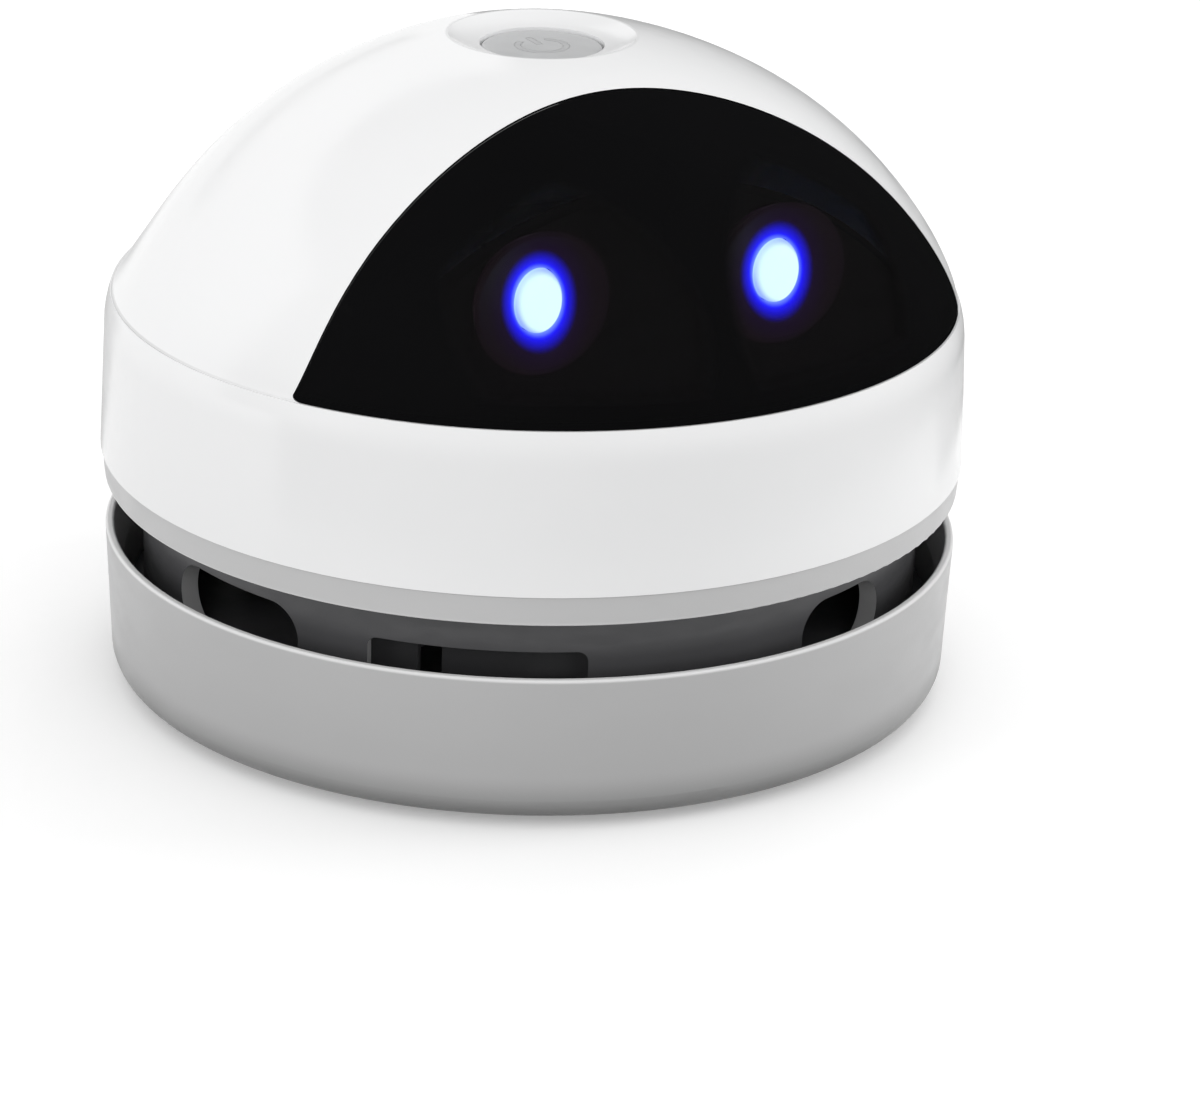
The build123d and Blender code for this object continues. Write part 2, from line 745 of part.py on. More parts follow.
def motor_clamp():
    """Sleeve over the motor with two ears screwed to the chassis."""
    low = chassis_top + joint_gap
    high = chassis_top + clamp_height
    outline = motor_outline(joint_gap + clamp_wall) - motor_outline(joint_gap)
    sleeve = Pos(0, 0, low) * extrude(outline, high - low)
    ears = block(-clamp_ear_reach, clamp_ear_reach, -clamp_ear_width / 2, clamp_ear_width / 2,
                 low, low + clamp_ear_height)
    ears = fillet(ears.edges().filter_by(Axis.Z), clamp_ear_width / 4)
    ears -= Pos(0, 0, low - 1) * extrude(motor_outline(joint_gap), clamp_ear_height + 2)
    clamp = sleeve + ears
    for at in ear_holes():
        clamp -= screw_hole(low - 1, low + clamp_ear_height + 1, at)
    return clamp


def down_screw(length, at, seat):
    """Screw pointing down, its head resting on the seat's level."""
    return Pos(at[0], at[1], seat) * Rot(180, 0, 0) * screw(length)


def clamp_screws():
    seat = chassis_top + joint_gap + clamp_ear_height
    return [down_screw(seat - chassis_top + floor_screw_bite, at, seat) for at in ear_holes()]


def mask_screws():
    return [down_screw(mask_foot_height + floor_screw_bite, at, chassis_top + mask_foot_height)
            for at in mask_holes()]


def battery_cell():
    """Round rechargeable cell with its button end."""
    length = cell_length - cell_tip_height
    can = Pos(-cell_tip_height / 2, cell_middle, cell_level) * Rot(0, 90, 0) * Cylinder(cell_radius, length)
    can = fillet(can.edges(), 0.5)
    tip = Pos((cell_length - cell_tip_height) / 2, cell_middle, cell_level) * Rot(0, 90, 0) * Cylinder(
        cell_tip_radius, cell_tip_height)
    return can + tip


def control_board():
    """Charging and switching board with its chip and coil."""
    half = board_width / 2
    board = block(-half, half, board_front, board_back, board_bottom, board_top)
    board &= disc(board_back + 1, board_bottom, board_top)
    for at in board_holes():
        board -= screw_hole(board_bottom - 1, board_top + 1, at)
    parts_line = board_front + 0.7 + chip_width / 2
    board += block(-chip_length * 0.6, chip_length * 0.4, parts_line - chip_width / 2,
                   parts_line + chip_width / 2, board_top - 0.1, board_top + chip_height)
    return board + disc(coil_radius, board_top - 0.1, board_top + coil_height,
                        (chip_length * 0.4 + coil_radius + 0.9, parts_line + 0.2))


def usb_socket():
    """Charging socket: a flat metal tube with its tongue."""
    depth = socket_length
    outer = Pos(0, socket_level) * SlotOverall(socket_width, socket_height)
    walls = 2 * socket_wall
    inner = Pos(0, socket_level) * SlotOverall(socket_width - walls, socket_height - walls)
    tube = extrude(FACE * outer, depth) - Pos(0, -socket_back, 0) * extrude(FACE * inner, depth)
    tongue = block(-tongue_width / 2, tongue_width / 2, -depth + 1.0, -socket_back / 2,
                   socket_level - tongue_thickness / 2, socket_level + tongue_thickness / 2)
    return Rot(0, 0, 180) * Pos(0, -(socket_mouth - depth), 0) * (tube + tongue)


def board_screws():
    return [down_screw(board_thickness + board_screw_bite - 0.6, at, board_top) for at in board_holes()]


def shell_screws():
    seat = ring_bottom + screw_head_height + 0.3
    length = lip_top - seat + screw_bite
    return [screw(length, around(angle, shell_screw_circle), seat) for angle in shell_screw_angles]


# ------------------------------------------------------------------ head: fan housing and fan
def fan_housing():
    """Smoky round housing under the chassis: exhaust windows, bayonet grooves, inlet plate and posts."""
    top = ring_bottom + band_groove_depth
    housing = ring(band_radius, band_inside, band_bottom, top)
    housing += ring(band_inside + 0.5, inlet_radius, inlet_plate_underside, inlet_plate_top)
    for side in (0, 180):
        backing = groove_floor - groove_backing
        housing += sector(band_inside + 0.5, backing, inlet_plate_underside, bayonet_top + 1.2,
                          bayonet_at + side, bayonet_span + 4)
    for angle in post_angles:
        at = around(angle, post_circle)
        housing += disc(post_radius, inlet_plate_underside, ring_bottom, at)
        housing -= screw_hole(inlet_plate_underside - 1, top + 1, at)
        housing -= disc(screw_head_radius + 0.15, inlet_plate_underside - 1,
                        inlet_plate_underside + screw_head_height + 0.1, at)
    for side in (0, 180):
        housing -= turned(wide_window_at + side, window(wide_window_width))
        housing -= turned(narrow_window_at + side, window(narrow_window_width))
        housing -= turned(bayonet_at + side, bayonet_groove())
    return housing + inlet_guard()


def window(width):
    """Cutter for one exhaust window, drawn at the face."""
    outline = Pos(0, window_middle) * SlotOverall(width, window_height)
    cutter = extrude(FACE * outline, band_radius + 3)
    return cutter & ring(band_radius + 3, impeller_radius + 0.5, 0, ring_bottom)


def bayonet_groove():
    """Cutter for one groove: the long run, the way in from below and the relief slit behind it."""
    low = lug_underside - turn_gap
    width = 2 * band_radius * math.sin(math.radians(bayonet_span / 2))
    outline = Pos(0, (low + bayonet_top) / 2) * RectangleRounded(width, bayonet_top - low, bayonet_corner)
    run = extrude(FACE * outline, band_radius + 3)
    run &= ring(band_radius + 3, groove_floor, 0, ring_bottom)
    entry_span = lug_width + 2 * lug_play
    entry_at = (bayonet_span - entry_span) / 2
    run += sector(band_radius + 3, groove_floor, band_bottom - 1, low + 1, entry_at, entry_span)
    slit_half = relief_slit_width / 2
    back = -groove_floor + groove_backing + 2
    slit = block(-slit_half, slit_half, -band_radius - 2, back, low, bayonet_top)
    return run + turned(-relief_slit_offset, slit)


def inlet_guard():
    """Cross bars and a ring over the fan's inlet."""
    half = guard_bar / 2
    guard = ring(inlet_radius * 0.5 + half, inlet_radius * 0.5 - half, inlet_plate_underside, inlet_plate_top)
    bar = block(-inlet_radius - 0.5, inlet_radius + 0.5, -half, half, inlet_plate_underside, inlet_plate_top)
    for turn in (0, 60, 120):
        guard += Rot(0, 0, turn) * bar
    return guard


def housing_screws():
    seat = inlet_plate_underside + screw_head_height + 0.1
    length = chassis_top + 3.5 - seat
    return [screw(length, around(angle, post_circle), seat) for angle in post_angles]


def motor_shaft():
    top = chassis_top + motor_can_height + bush_height
    return disc(shaft_radius, blade_bottom + 0.6, top + 0.8)


def impeller():
    """Open fan wheel: back plate, hub and blades swept back."""
    wheel = disc(impeller_radius, blade_top, impeller_top)
    wheel += disc(hub_radius, blade_bottom + 0.4, impeller_top + 0.8)
    blade = fan_blade()
    wheel += [Rot(0, 0, 360 * index / blade_count) * blade for index in range(blade_count)]
    return wheel - disc(shaft_radius, 0, impeller_top + 2)


def fan_blade():
    """One blade: a strip between two arcs from the hub side to the rim, thin and upright."""
    half = blade_thickness / 2
    rim = impeller_radius + 1
    middle_radius = (blade_inner_radius + rim) / 2
    sides = []
    for shift in (-half, half):
        start = around(math.degrees(shift / blade_inner_radius), blade_inner_radius)
        middle = around(blade_sweep * 0.36 + math.degrees(shift / middle_radius), middle_radius)
        end = around(blade_sweep + math.degrees(shift / rim) * 1.2, rim)
        sides.append(ThreePointArc(start, middle, end))
    near, far = sides
    outline = make_face(near + Line(near @ 1, far @ 1) + far + Line(far @ 0, near @ 0))
    blade = Pos(0, 0, blade_bottom) * extrude(outline, blade_height + 0.3)
    return blade & disc(impeller_radius - 0.3, blade_bottom, blade_top + 0.3)


# ------------------------------------------------------------------ filter
def filter_frame():
    """Ring with spokes that hangs under the fan housing; its flange is keyed to the cup's lugs."""
    top = seal_top + filter_frame_height
    mesh_edge = filter_frame_inside + filter_mesh_margin
    frame = ring(filter_frame_radius, filter_frame_inside, seal_top, top)
    frame += ring(flange_radius(), filter_frame_inside, seal_top, flange_top)
    frame -= disc(mesh_edge + joint_gap, flange_top, top + 1)
    for side in (0, 180):
        notch = sector(flange_radius() + 2, lug_inside - 0.3, 0, top,
                       lug_angle() + side, lug_width + 2 * lug_play)
        frame -= notch
    half = filter_spoke_width / 2
    reach = filter_frame_inside + 0.5
    bar = block(-reach, reach, -half, half, seal_top + 0.2, flange_top)
    for index in range(filter_spokes // 2):
        frame += Rot(0, 0, 360 * index / filter_spokes) * bar
    return frame


def flange_radius():
    return cup_inside(seal_top) - filter_flange_gap


def filter_mesh():
    edge = filter_frame_inside + filter_mesh_margin
    return disc(edge, flange_top, flange_top + filter_mesh_thickness)


def seal_ring():
    """Soft ring under the filter frame."""
    return ring(seat_radius, seat_radius - seat_wall, seat_height, seal_top)


# ------------------------------------------------------------------ dust cup
def cup_inside(level):
    """Inner radius of the cup's wall at a level."""
    return cup_outside - cup_wall - (cup_rim_height - level) * math.tan(math.radians(cup_draft))


def lug_angle():
    """Where the cup's lugs stand: in the mouths of the head's grooves."""
    return bayonet_at + (bayonet_span - lug_width) / 2 - lug_play


def dust_cup():
    """Grey cup with the suction nozzle in its floor, the filter's seat and two bayonet lugs."""
    bottom = foot_stand_out
    low_outside = cup_inside(bottom) + cup_wall
    low_inside = cup_inside(cup_floor_top)
    taper = cup_rim_height - cup_rim_taper
    profile = make_face(Polyline((0, bottom), (low_outside, bottom), (cup_outside, cup_rim_height),
                                 (cup_outside - cup_rim_wall, cup_rim_height), (cup_inside(taper), taper),
                                 (low_inside, cup_floor_top), (0, cup_floor_top), close=True))
    foot_corner = profile.vertices().sort_by_distance((low_outside, bottom))[0]
    profile = fillet(foot_corner, cup_bottom_radius)
    profile = fillet(profile.vertices().group_by(Axis.Y)[-1], cup_rim_radius)
    inner_corner = profile.vertices().sort_by_distance((low_inside, cup_floor_top))[0]
    profile = fillet(inner_corner, cup_floor_radius)
    cup = revolve(Plane.XZ * profile, Axis.Z)
    cup += ring(seat_radius, seat_radius - seat_wall, cup_floor_top - 0.3, seat_height)
    for side in (0, 180):
        cup += turned(side, bayonet_lug())
    cup += nozzle_walls()
    cup -= nozzle_passage()
    for at in foot_places():
        cup -= disc(foot_radius + joint_gap, 0, foot_stand_out + foot_sink, at)
    return cup


def bayonet_lug():
    """Lug on a pillar that also keys the filter frame."""
    wall = cup_inside(cup_floor_top) + 0.5
    top = lug_underside + lug_height
    pillar = sector(wall, band_radius + 0.3, cup_floor_top - 0.3, top, lug_angle(), lug_width)
    lug = sector(cup_outside - cup_rim_wall, lug_inside, lug_underside, top, lug_angle(), lug_width)
    return pillar + lug


def nozzle_walls():
    half_length = nozzle_length / 2 + nozzle_end_wall
    half_width = nozzle_width / 2 + nozzle_side_wall
    walls = block(-half_length, half_length, -half_width, half_width, cup_floor_top - 0.3, nozzle_top)
    return fillet(walls.edges().filter_by(Axis.Z), nozzle_end_wall)


def nozzle_passage():
    """Slot that the crumbs come up through, with a groove on each side for a brush."""
    half_length = nozzle_length / 2
    half_width = nozzle_width / 2
    slot = block(-half_length, half_length, -half_width, half_width, -1, nozzle_top + 1)
    slot = fillet(slot.edges().filter_by(Axis.Z), 1.5)
    for side in (-1, 1):
        middle = side * brush_line()
        slot += block(-half_length, half_length,
                      middle - brush_groove_width / 2, middle + brush_groove_width / 2,
                      -1, foot_stand_out + brush_groove_depth)
    return slot


def brush_line():
    return nozzle_width / 2 + nozzle_side_wall / 2


def brush_bar(side):
    """Plastic strip pressed into a groove."""
    half = brush_groove_width / 2 - joint_gap
    top = foot_stand_out + brush_groove_depth - joint_gap
    middle = side * brush_line()
    reach = nozzle_length / 2 - 0.2
    return block(-reach, reach, middle - half, middle + half, top - brush_bar_height, top)


def bristles(side):
    """Row of bristles under a strip, as one block."""
    top = foot_stand_out + brush_groove_depth - joint_gap - brush_bar_height
    middle = side * brush_line()
    reach = nozzle_length / 2 - 0.8
    half = bristle_width / 2
    return block(-reach, reach, middle - half, middle + half, bristle_floor_gap, top)


def foot_places():
    return [around(angle, foot_circle) for angle in foot_angles]


def foot(at):
    pad = disc(foot_radius, 0, foot_stand_out + foot_sink, at)
    return fillet(pad.edges().group_by(Axis.Z)[0], 0.3)


# ------------------------------------------------------------------ every node, by name
def nodes():
    parts = {
        "head_shell": head_shell(),
        "visor": visor(),
        "eye_mask": eye_mask(),
        "led_board": led_board(),
        "power_button": power_button(),
        "button_spring": button_spring(),
        "push_switch": push_switch(),
        "switch_plunger": switch_plunger(),
        "switch_board": switch_board(),
        "switch_bracket": switch_bracket(),
        "switch_screws": switch_screws(),
        "chassis": chassis(),
        "motor_can": motor_can(),
        "motor_cap": motor_cap(),
        "motor_bush_lower": motor_bush(chassis_top - motor_nose_height),
        "motor_bush_upper": motor_bush(chassis_top + motor_can_height),
        "motor_clamp": motor_clamp(),
        "motor_clamp_screws": clamp_screws(),
        "motor_shaft": motor_shaft(),
        "battery_cell": battery_cell(),
        "control_board": control_board(),
        "control_board_screws": board_screws(),
        "usb_socket": usb_socket(),
        "eye_mask_screws": mask_screws(),
        "shell_screws": shell_screws(),
        "fan_housing": fan_housing(),
        "fan_housing_screws": housing_screws(),
        "impeller": impeller(),
        "filter_frame": filter_frame(),
        "filter_mesh": filter_mesh(),
        "filter_seal": seal_ring(),
        "dust_cup": dust_cup(),
        "brush_bar_front": brush_bar(-1),
        "brush_bar_rear": brush_bar(1),
        "bristles_front": bristles(-1),
        "bristles_rear": bristles(1),
    }
    for name, offset in eye_offsets.items():
        parts["eye_lens_" + name] = eye_lens(offset)
        parts["eye_cup_" + name] = eye_cup(offset)
        parts["eye_lamp_" + name] = eye_led(offset)
    names = ("foot_front_right", "foot_rear_right", "foot_rear_left", "foot_front_left")
    for name, at in zip(names, foot_places()):
        parts[name] = foot(at)
    return parts


def main():
    os.makedirs("parts", exist_ok=True)
    for name, shape in nodes().items():
        solids = shape if isinstance(shape, list) else [shape]
        group = Compound(children=[solid for piece in solids for solid in piece.solids()])
        export_step(group, os.path.join("parts", name + ".step"))


main()
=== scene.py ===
import math
import random

import bmesh
import bpy
from mathutils import Matrix, Vector


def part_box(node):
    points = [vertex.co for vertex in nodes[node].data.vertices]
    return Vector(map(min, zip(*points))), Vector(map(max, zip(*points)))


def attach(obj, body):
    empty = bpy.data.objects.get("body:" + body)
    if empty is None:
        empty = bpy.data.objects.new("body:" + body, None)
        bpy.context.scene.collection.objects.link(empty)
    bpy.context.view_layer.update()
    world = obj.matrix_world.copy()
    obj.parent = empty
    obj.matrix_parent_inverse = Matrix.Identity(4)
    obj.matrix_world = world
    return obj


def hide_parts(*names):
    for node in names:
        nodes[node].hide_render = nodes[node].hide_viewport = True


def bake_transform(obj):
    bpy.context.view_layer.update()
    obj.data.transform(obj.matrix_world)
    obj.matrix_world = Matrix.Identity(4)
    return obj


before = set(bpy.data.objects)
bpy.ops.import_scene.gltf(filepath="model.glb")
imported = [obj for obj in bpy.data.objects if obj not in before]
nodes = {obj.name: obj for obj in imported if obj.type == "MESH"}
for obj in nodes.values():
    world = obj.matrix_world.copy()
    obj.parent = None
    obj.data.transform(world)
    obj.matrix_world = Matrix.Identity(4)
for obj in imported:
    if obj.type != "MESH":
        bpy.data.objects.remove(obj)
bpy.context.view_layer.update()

scene = bpy.context.scene
scene.view_settings.view_transform = "Standard"


def middle_of(node):
    """Middle of a CAD node's box."""
    low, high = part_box(node)
    return (low + high) / 2


# ---------------------------------------------------------------- levels and places on the cleaner
# Lengths are in metres. A reach is a level distance from the upright axis of the body.
foot_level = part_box("dust_cup")[0].z
rim_level = 0.0156           # of the dust cup
ring_level = 0.0211          # underside of the grey ring
skirt_level = 0.0241         # underside of the white skirt
crease_level = 0.040         # where the dome meets the ledge of the skirt
dome_reach = 0.0422          # of the dome at the crease
band_reach = 0.0373          # inner face of the smoky band
groove_reach = 0.0380        # between the floors of the band's grooves and its face
visor_arc_reach = 0.03847    # the visor's outline, seen from the front, is an arc of this size
visor_arc_level = 0.02606    # round this level
sign_radius = 0.0024         # of the ring in the sign on the button
sign_stroke = 0.0005
left_eye = middle_of("eye_lens_left")
right_eye = middle_of("eye_lens_right")
eye_half_width = 0.0024      # of the lit oval
eye_half_height = 0.00315
eye_tilt = 10                # degrees that the tops of the ovals lean towards the left eye's side

# ---------------------------------------------------------------- camera
image_width, image_height = 1200, 1099
sensor_width = 36.0
focal_pixels = 4437.24
camera_bearing = -26.05      # degrees round the body from the face
camera_reach = 0.42245
camera_rise = 0.13881        # above the crease
camera_roll = -1.44          # degrees
crease_spot = (536.04, 286.525)      # the crease's middle, in pixels from the frame's top left


def make_camera():
    """Camera that shows the middle of the crease at its spot in the frame, with a small roll."""
    aim = Vector((0, 0, crease_level))
    bearing = math.radians(camera_bearing)
    offset = (camera_reach * math.sin(bearing), -camera_reach * math.cos(bearing), camera_rise)
    place = aim + Vector(offset)
    forward = (aim - place).normalized()
    right = forward.cross(Vector((0, 0, 1))).normalized()
    up = right.cross(forward)
    roll = math.radians(camera_roll)
    c, s = math.cos(roll), math.sin(roll)
    rolled = Matrix((right * c - up * s, right * s + up * c, forward))
    across, down = crease_spot
    ray = Vector((across - image_width / 2, image_height / 2 - down, focal_pixels))
    swing = Vector((0, 0, 1)).rotation_difference(ray.normalized()).to_matrix()
    right, up, forward = swing @ rolled
    data = bpy.data.cameras.new("camera")
    data.sensor_width = sensor_width
    data.lens = focal_pixels * sensor_width / image_width
    data.clip_start, data.clip_end = 0.01, 20
    camera = bpy.data.objects.new("camera", data)
    turned = Matrix((right, up, -forward)).transposed().to_4x4()
    camera.matrix_world = Matrix.Translation(place) @ turned
    scene.collection.objects.link(camera)
    scene.camera = camera


# ---------------------------------------------------------------- materials under construction
usual_noise = (0.3, 0.7)     # most of a noise pattern lies between these


class Finish:
    """A Principled surface, with the patterns that feed it."""

    def __init__(self, name, colour, roughness, **sockets):
        self.material = bpy.data.materials.new(name)
        self.material.use_nodes = True
        self.tree = self.material.node_tree
        self.surface = self.tree.nodes["Principled BSDF"]
        self.give(Base_Color=colour, Roughness=roughness, **sockets)
        texture = self.node("ShaderNodeTexCoord")
        self.place = texture.outputs["Object"]
        self.facing = texture.outputs["Normal"]

    def feed(self, socket, value):
        """Link a pattern to a socket, or set a plain value on the socket itself."""
        if isinstance(value, bpy.types.NodeSocket):
            self.tree.links.new(value, socket)
        elif socket.type == "RGBA":
            socket.default_value = (*value, 1)
        else:
            socket.default_value = value

    def give(self, **sockets):
        """Feed the surface's sockets, by name with _ for a space."""
        for name, value in sockets.items():
            self.feed(self.surface.inputs[name.replace("_", " ")], value)

    def node(self, kind, sockets=None, **settings):
        """A node with its settings and what feeds its sockets."""
        made = self.tree.nodes.new(kind)
        for name, value in settings.items():
            setattr(made, name, value)
        for socket, value in (sockets or {}).items():
            self.feed(made.inputs[socket], value)
        return made

    # Places
    def axes(self):
        """The point's x, y and z."""
        return self.node("ShaderNodeSeparateXYZ", {0: self.place}).outputs

    def vector(self, operation, first, second=(0, 0, 0)):
        """A sum with vectors that gives a vector."""
        made = self.node("ShaderNodeVectorMath", {0: first, 1: second}, operation=operation)
        return made.outputs["Vector"]

    def number(self, operation, first, second=(0, 0, 0)):
        """A sum with vectors that gives a number."""
        made = self.node("ShaderNodeVectorMath", {0: first, 1: second}, operation=operation)
        return made.outputs["Value"]

    def length(self, vector):
        return self.number("LENGTH", vector)

    def out_from_axis(self):
        """The point's place without its height."""
        return self.vector("MULTIPLY", self.place, (1, 1, 0))

    # Numbers
    def math(self, operation, first, second=0.0):
        return self.node("ShaderNodeMath", {0: first, 1: second}, operation=operation).outputs[0]

    def distance(self, across, above):
        """Length of a line that goes so far each way."""
        squares = [self.math("POWER", side, 2.0) for side in (across, above)]
        return self.math("SQRT", self.math("ADD", *squares))

    def ramp(self, value, low, high, out_low=0.0, out_high=1.0, kind="SMOOTHSTEP"):
        """Value from low..high carried on to out_low..out_high."""
        made = self.node("ShaderNodeMapRange", {"Value": value, "From Min": low, "From Max": high,
                                                "To Min": out_low, "To Max": out_high},
                         interpolation_type=kind)
        return made.outputs["Result"]

    def fall(self, value, low, high):
        """1 up to low, and 0 from high."""
        return self.ramp(value, low, high, 1.0, 0.0)

    def near(self, value, target, full, none):
        """1 while the value is within full of the target, and 0 from none away."""
        off = self.math("ABSOLUTE", self.math("SUBTRACT", value, target))
        return self.fall(off, full, none)

    # Patterns
    def noise(self, size, detail=3.0, stretch=None):
        """Cloudy pattern whose blotches are about the given size."""
        where = self.place
        if stretch:
            mapping = self.node("ShaderNodeMapping", {"Vector": where, "Scale": stretch})
            where = mapping.outputs[0]
        made = self.node("ShaderNodeTexNoise", {"Vector": where, "Scale": 1 / size,
                                                "Detail": detail})
        return made.outputs["Fac"]

    def grain(self, size):
        """Small cells, as a spark-eroded mould leaves them."""
        made = self.node("ShaderNodeTexVoronoi", {"Vector": self.place, "Scale": 1 / size},
                         feature="SMOOTH_F1")
        return made.outputs["Distance"]

    def mix(self, share, first, second):
        """Colour from first to second by share."""
        made = self.node("ShaderNodeMix", {0: share, 6: first, 7: second}, data_type="RGBA")
        return made.outputs[2]

    # What the surface shows
    def paint(self, colour):
        self.give(Base_Color=colour)

    def paint_over(self, share, colour):
        """A further coat where share says, over the colour that the surface has by now."""
        under = self.surface.inputs["Base Color"].links[0].from_socket
        self.paint(self.mix(share, under, colour))

    def polish(self, pattern, low, high):
        """Roughness that drifts from low to high with a noise pattern."""
        self.give(Roughness=self.ramp(pattern, *usual_noise, low, high))

    def relief(self, height, depth):
        """Bump of the given depth."""
        bump = self.node("ShaderNodeBump", {"Height": height, "Distance": depth})
        self.give(Normal=bump.outputs[0])

    def put_on(self, *names):
        """Give the material to CAD nodes or pieces by name."""
        for name in names:
            mesh = (nodes.get(name) or bpy.data.objects[name]).data
            mesh.materials.clear()
            mesh.materials.append(self.material)


def shade(colour, factor):
    """The colour, darker or lighter."""
    return tuple(channel * factor for channel in colour)


def moulded(name, colour, roughness, blotch, mottle, grain, depth):
    """Moulded plastic: flow marks of the size blotch that change its colour by mottle,
    uneven polish, and a fine grained skin of the given depth."""
    finish = Finish(name, colour, roughness)
    flow = finish.noise(blotch, detail=4)
    finish.paint(finish.mix(flow, shade(colour, 1 - mottle), shade(colour, 1 + mottle)))
    smear = finish.noise(blotch * 0.3, detail=5, stretch=(1, 1, 2.5))
    finish.polish(smear, roughness * 0.85, roughness * 1.2)
    finish.relief(finish.grain(grain), depth)
    return finish


# ---------------------------------------------------------------- finishes of the outside
def white_shell():
    """Gloss white, with a painted shade line along the crease at the foot of the dome."""
    white = (0.86, 0.862, 0.866)
    shell = moulded("white_gloss", white, 0.2, blotch=0.03, mottle=0.012, grain=0.0012,
                    depth=0.0000025)
    crease_shade_width = (0.00012, 0.0003)       # full as far as one, gone at the other
    dome_edge = (dome_reach + 0.00005, dome_reach + 0.00015)
    face_to_side = (-0.025, 0.005)       # the painted shade line is fainter at the face than round the back
    face_share = 0.25
    y, z = shell.axes()[1:3]
    # painted shade: a thin darker line along the crease where the dome meets the skirt
    line = shell.math("MULTIPLY", shell.near(z, crease_level, *crease_shade_width),
                      shell.fall(shell.length(shell.out_from_axis()), *dome_edge))
    line = shell.math("MULTIPLY", line, shell.ramp(y, *face_to_side, face_share, 1.0))
    shell.paint_over(line, shade(white, 0.78))
    shell.put_on("head_shell")


def painted_light_band(finish, level, width, colour):
    """Painted light near a level: a painted highlight along a rim, painted shade along a foot or
    under a seam.
    """
    z = finish.axes()[2]
    full_width = width * 0.2
    finish.paint_over(finish.near(z, level, full_width, width), colour)


def grey_tray():
    tray = moulded("grey_satin_tray", (0.56, 0.56, 0.562), 0.38, blotch=0.02, mottle=0.02,
                   grain=0.0003, depth=0.000004)
    # painted highlight along the lower edge of the grey ring
    painted_light_band(tray, ring_level, 0.00035, (0.78, 0.78, 0.78))
    # painted shade line under the skirt, where the ring meets it
    painted_light_band(tray, skirt_level, 0.00015, (0.30, 0.30, 0.30))
    tray.put_on("chassis")


def grey_cup():
    cup = moulded("grey_cup", (0.495, 0.495, 0.497), 0.36, blotch=0.025, mottle=0.02,
                  grain=0.0003, depth=0.000005)
    # painted highlight along the cup's rim
    painted_light_band(cup, rim_level, 0.0004, (0.80, 0.80, 0.80))
    # painted shade, darker over the last few millimetres towards the cup's foot
    painted_light_band(cup, foot_level, 0.0050, (0.30, 0.30, 0.30))
    cup.put_on("dust_cup")


def marked_button():
    """Satin grey cap with the on-off sign, an open ring and a bar, raised in its face."""
    finish = Finish("grey_button", (0.56, 0.565, 0.57), 0.35)
    finish.polish(finish.noise(0.002, detail=5), 0.3, 0.42)
    stroke = (sign_stroke * 0.5, sign_stroke * 0.8)      # full as far as one, gone at the other
    x, y = finish.axes()[0:2]
    reach = finish.length(finish.out_from_axis())
    ring = finish.near(reach, sign_radius, *stroke)
    bearing = finish.math("ABSOLUTE", finish.math("ARCTAN2", x, y))
    gap = (0.50, 0.60)           # radians each side of the bar where the ring is open
    ring = finish.math("MULTIPLY", ring, finish.ramp(bearing, *gap))
    bar_middle = sign_radius * 0.75
    bar_end = (sign_radius * 0.5, sign_radius * 0.6)
    bar = finish.math("MULTIPLY", finish.near(x, 0.0, *stroke),
                      finish.near(y, bar_middle, *bar_end))
    sign = finish.math("MAXIMUM", ring, bar)
    cloud = finish.noise(0.004, detail=4)
    finish.paint(finish.mix(cloud, (0.54, 0.545, 0.55), (0.58, 0.585, 0.59)))
    faint = 0.25
    finish.paint_over(finish.math("MULTIPLY", sign, faint), (0.42, 0.42, 0.43))
    finish.relief(sign, 0.0002)
    finish.put_on("power_button")


def dark_visor():
    """Gloss black clear plastic, painted behind but for a smoked window before each eye."""
    window_edge = (0.0095, 0.012)        # how far from an eye the paint begins, and is whole
    border_edge = (visor_arc_reach - 0.0045, visor_arc_reach - 0.0030)
    sill_edge = (crease_level + 0.0022, crease_level + 0.0034)
    foot_edge = (crease_level + 0.0004, crease_level + 0.0012)
    window_alpha = 0.45
    gloss = 0.5                          # above the foot, which is dull
    finish = Finish("dark_visor", (0.004, 0.004, 0.0045), 0.09)
    finish.polish(finish.noise(0.006, detail=5), 0.07, 0.12)
    x, z = finish.axes()[0], finish.axes()[2]
    across = finish.math("SUBTRACT", finish.math("ABSOLUTE", x), right_eye.x)
    above = finish.math("SUBTRACT", z, right_eye.z)
    round_window = finish.ramp(finish.distance(across, above), *window_edge)
    over_arc = finish.math("SUBTRACT", z, visor_arc_level)
    border = finish.ramp(finish.distance(x, over_arc), *border_edge)
    sill = finish.fall(z, *sill_edge)
    painted = finish.math("MAXIMUM", round_window, finish.math("MAXIMUM", border, sill))
    black = finish.mix(finish.noise(0.02), (0.0037, 0.0037, 0.0040), (0.0050, 0.0050, 0.0054))
    finish.paint(finish.mix(painted, (0.0085, 0.008, 0.0085), black))
    finish.give(Alpha=finish.ramp(painted, 0.0, 1.0, window_alpha, 1.0, kind="LINEAR"),
                Specular_IOR_Level=finish.ramp(z, *foot_edge, 0.0, gloss))
    finish.put_on("visor")


